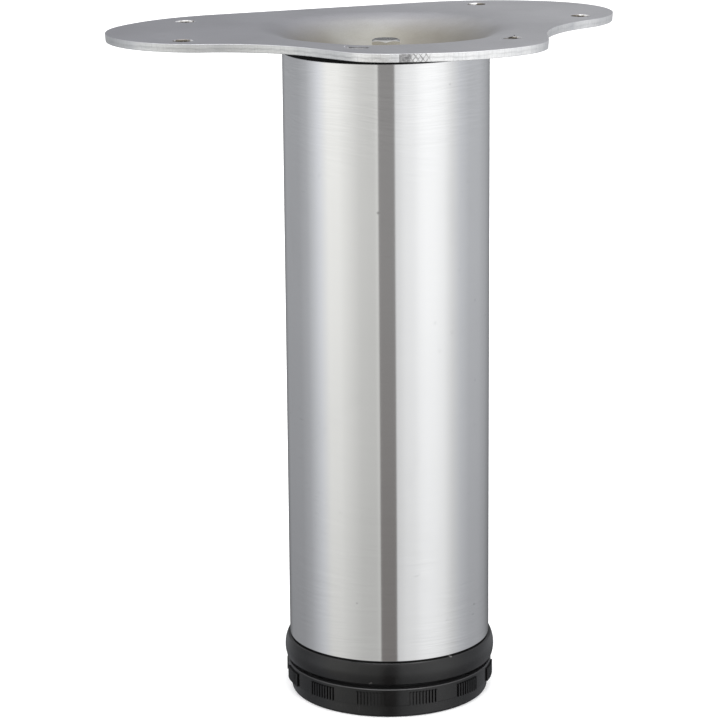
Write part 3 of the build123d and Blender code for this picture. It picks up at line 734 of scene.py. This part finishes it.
def build_plate():
    verts, faces, fm = [], [], []

    def add(p):
        verts.append(p)
        return len(verts) - 1

    P, N = plate_outline(0.55)
    n = len(P)
    arc = np.concatenate([[0], np.cumsum(np.linalg.norm(np.diff(P, axis=0), axis=1))])
    # Columns over the edge: rolled upper corner, sheared wall, torn lower part, small burr.
    cols = []
    for i in range(n):
        nx, ny = N[i]
        s = arc[i]
        tear = noise.noise(Vector((s * 1.9, 3.1, 0.0)))
        tear2 = noise.noise(Vector((s * 0.6, 9.4, 0.0)))
        line = 0.42 + 0.16 * tear2 + 0.08 * tear
        col = []
        roll = 0.16 + 0.06 * tear2 + 0.05 * tear
        for d, z in ((2.2, 0.0), (1.1, 0.0), (roll * 1.0, 0.0)):
            col.append((d, z, 0.0))
        for k in range(1, 5):
            q = math.pi / 2 * k / 4
            col.append((roll * (1 - math.sin(q)), -roll * 0.9 * (1 - math.cos(q)), 0.0))
        z0, z1 = -roll * 0.9, -PLATE_T
        for k in range(1, 11):
            f = k / 11
            zz = z0 + (z1 - z0) * f
            torn = max(0.0, min(1.0, (f - line) / 0.12))
            rough = 0.055 * noise.noise(Vector((s * 2.6, zz * 1.6, 5.0))) + 0.03 * noise.noise(Vector((s * 5.2, zz * 5.0, 1.0)))
            grooves = 0.022 * noise.noise(Vector((s * 4.4, zz * 0.3, 8.0)))
            d = 0.03 + grooves * (1 - torn) + torn * (0.06 + 0.08 * (f - line) + rough)
            col.append((max(0.0, d), zz, 0.0))
        for k in range(0, 4):
            q = math.pi / 2 * k / 3
            col.append((0.14 + 0.12 * (1 - math.cos(q)), -PLATE_T + 0.12 * (1 - math.sin(q)), 0.0))
        col += [(1.1, -PLATE_T, 0.0), (2.2, -PLATE_T, 0.0)]
        ids = []
        for d, z, _ in col:
            px, py = P[i][0] - nx * (d + 0.01), P[i][1] - ny * (d + 0.01)
            ids.append(add((px, py, PLATE_TOP + z + sheet_wave(px, py))))
        cols.append(ids)
    m = len(cols[0])
    for i in range(n):
        a, b = cols[i], cols[(i + 1) % n]
        for k in range(m - 1):
            faces.append([a[k], a[k + 1], b[k + 1], b[k]])
            fm.append(1 if 5 <= k < m - 4 else 0)
    top_loop = [c[0] for c in cols]
    bot_loop = [c[-1] for c in cols]

    # Screw holes: a drawn-in upper edge and a slightly torn lower one.
    hole_top, hole_bot = [], []
    segs = 72
    for hx, hy in HOLES:
        prof = [(3.9, 0.0), (3.45, 0.0)]
        for k in range(0, 6):
            q = math.pi / 2 * k / 5
            prof.append((2.79 + 0.48 * (1 - math.sin(q)), -0.5 * (1 - math.cos(q))))
        prof += [(2.79, -1.1), (2.80, -1.6), (2.86, -2.0), (2.88, -PLATE_T + 0.08), (2.96, -PLATE_T), (3.45, -PLATE_T), (3.9, -PLATE_T)]
        ring = []
        for j in range(segs):
            q = 2 * math.pi * j / segs
            ids = []
            for k, (rr, z) in enumerate(prof):
                jit = 0.02 * noise.noise(Vector((math.cos(q) * 3 + hx, math.sin(q) * 3 + hy, z * 2))) if 8 <= k <= 11 else 0.0
                px, py = hx + (rr + jit) * math.cos(q), hy + (rr + jit) * math.sin(q)
                ids.append(add((px, py, PLATE_TOP + z + sheet_wave(px, py))))
            ring.append(ids)
        for j in range(segs):
            a, b = ring[j], ring[(j + 1) % segs]
            for k in range(len(prof) - 1):
                faces.append([a[k], b[k], b[k + 1], a[k + 1]])
                fm.append(2 if 4 <= k <= 11 else 0)
        hole_top.append([c[0] for c in ring])
        hole_bot.append([c[-1] for c in ring])

    # Dish: turned rings that blend into the flat sheet.
    dsegs = 224
    def rings(offset, outer):
        prof = [(outer, PLATE_TOP - offset), (39.6, PLATE_TOP - offset)] + dish_arc(offset)
        out = []
        for rr, z in prof:
            ids = []
            f = max(0.0, min(1.0, (rr - 30.0) / 9.0))
            for j in range(dsegs):
                q = 2 * math.pi * j / dsegs
                px, py = rr * math.cos(q), rr * math.sin(q)
                ids.append(add((px, py, z + f * sheet_wave(px, py))))
            out.append(ids)
        return out
    tr, br = rings(0.0, 40.6), rings(PLATE_T, 40.6)
    for rg, flip in ((tr, False), (br, True)):
        for k in range(len(rg) - 1):
            for j in range(dsegs):
                jj = (j + 1) % dsegs
                f = [rg[k][j], rg[k][jj], rg[k + 1][jj], rg[k + 1][j]]
                faces.append(f[::-1] if flip else f)
                fm.append(0)
    # Bolt hole.
    zt, zb = PLATE_TOP - 9.1, PLATE_TOP - 9.1 - PLATE_T
    bore = [(2.95, zt), (2.80, zt - 0.12), (2.77, zt - 1.2), (2.80, zb + 0.1), (2.95, zb)]
    last = tr[-1]
    for rr, z in bore:
        ids = [add((rr * math.cos(2 * math.pi * j / dsegs), rr * math.sin(2 * math.pi * j / dsegs), z)) for j in range(dsegs)]
        for j in range(dsegs):
            jj = (j + 1) % dsegs
            faces.append([last[j], last[jj], ids[jj], ids[j]])
            fm.append(0)
        last = ids
    for j in range(dsegs):
        jj = (j + 1) % dsegs
        faces.append([last[j], last[jj], br[-1][jj], br[-1][j]])
        fm.append(0)

    # The flat sheet between those loops.
    def flat(outer, holes, ring, z):
        loops = [outer] + holes + [ring]
        co, ids, edges = [], [], []
        for lp in loops:
            base = len(co)
            for v in lp:
                co.append(Vector((verts[v][0], verts[v][1])))
                ids.append(v)
            edges += [(base + i, base + (i + 1) % len(lp)) for i in range(len(lp))]
        O = np.array([(verts[v][0], verts[v][1]) for v in outer])
        rng = np.random.default_rng(7)
        free = []
        step = 2.6
        for gy in np.arange(-54, 51, step * 0.866):
            off = (int(round(gy / (step * 0.866))) % 2) * step / 2
            for gx in np.arange(-79, 79, step):
                q = np.array([gx + off, gy]) + rng.uniform(-0.35, 0.35, 2)
                if np.hypot(*q) < 42.4 or min(math.hypot(q[0] - hx, q[1] - hy) for hx, hy in HOLES) < 5.2:
                    continue
                if np.min(np.linalg.norm(O - q, axis=1)) < 1.9:
                    continue
                x0, y0 = O[:, 0], O[:, 1]
                x1, y1 = np.roll(x0, -1), np.roll(y0, -1)
                cross = ((y0 > q[1]) != (y1 > q[1])) & (q[0] < (x1 - x0) * (q[1] - y0) / (y1 - y0 + 1e-12) + x0)
                if cross.sum() % 2:
                    free.append(q)
        base = len(co)
        for q in free:
            co.append(Vector((float(q[0]), float(q[1]))))
            ids.append(add((float(q[0]), float(q[1]), z + sheet_wave(q[0], q[1]))))
        vc, _, fc, ov, _, _ = delaunay_2d_cdt(co, edges, [], 0, 1e-5)
        remap = [ids[o[0]] if o else add((v[0], v[1], z)) for v, o in zip(vc, ov)]
        ring_r = 40.55
        for f in fc:
            cx = sum(vc[i][0] for i in f) / 3
            cy = sum(vc[i][1] for i in f) / 3
            if math.hypot(cx, cy) < ring_r or any(math.hypot(cx - hx, cy - hy) < 3.88 for hx, hy in HOLES):
                continue
            x0, y0 = O[:, 0], O[:, 1]
            x1, y1 = np.roll(x0, -1), np.roll(y0, -1)
            cross = ((y0 > cy) != (y1 > cy)) & (cx < (x1 - x0) * (cy - y0) / (y1 - y0 + 1e-12) + x0)
            if cross.sum() % 2 == 0:
                continue
            faces.append([remap[i] for i in f])
            fm.append(0)

    flat(top_loop, hole_top, tr[0], PLATE_TOP)
    flat(bot_loop, hole_bot, br[0], PLATE_TOP - PLATE_T)
    return verts, faces, fm


pv, pf, pm = build_plate()
plate = mesh_piece("plate_sheet", pv, pf, [sheet_mat, edge_mat, hole_mat], "leg", pm, sharp=50.0)
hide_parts("mounting_plate")


def paint(node, mat):
    me = nodes[node].data
    me.materials.clear()
    me.materials.append(mat)


for nm in ("plate_bolt", "spring_washer", "bolt_washer", "bridge_nut", "pad_clip"):
    paint(nm, zinc_mat)
paint("foot_collar", collar_mat)
paint("adjuster", black_mat)
paint("top_plug", plug_mat)
paint("glide_pad", glide_mat)
paint("tube_bridge", bridge_mat)
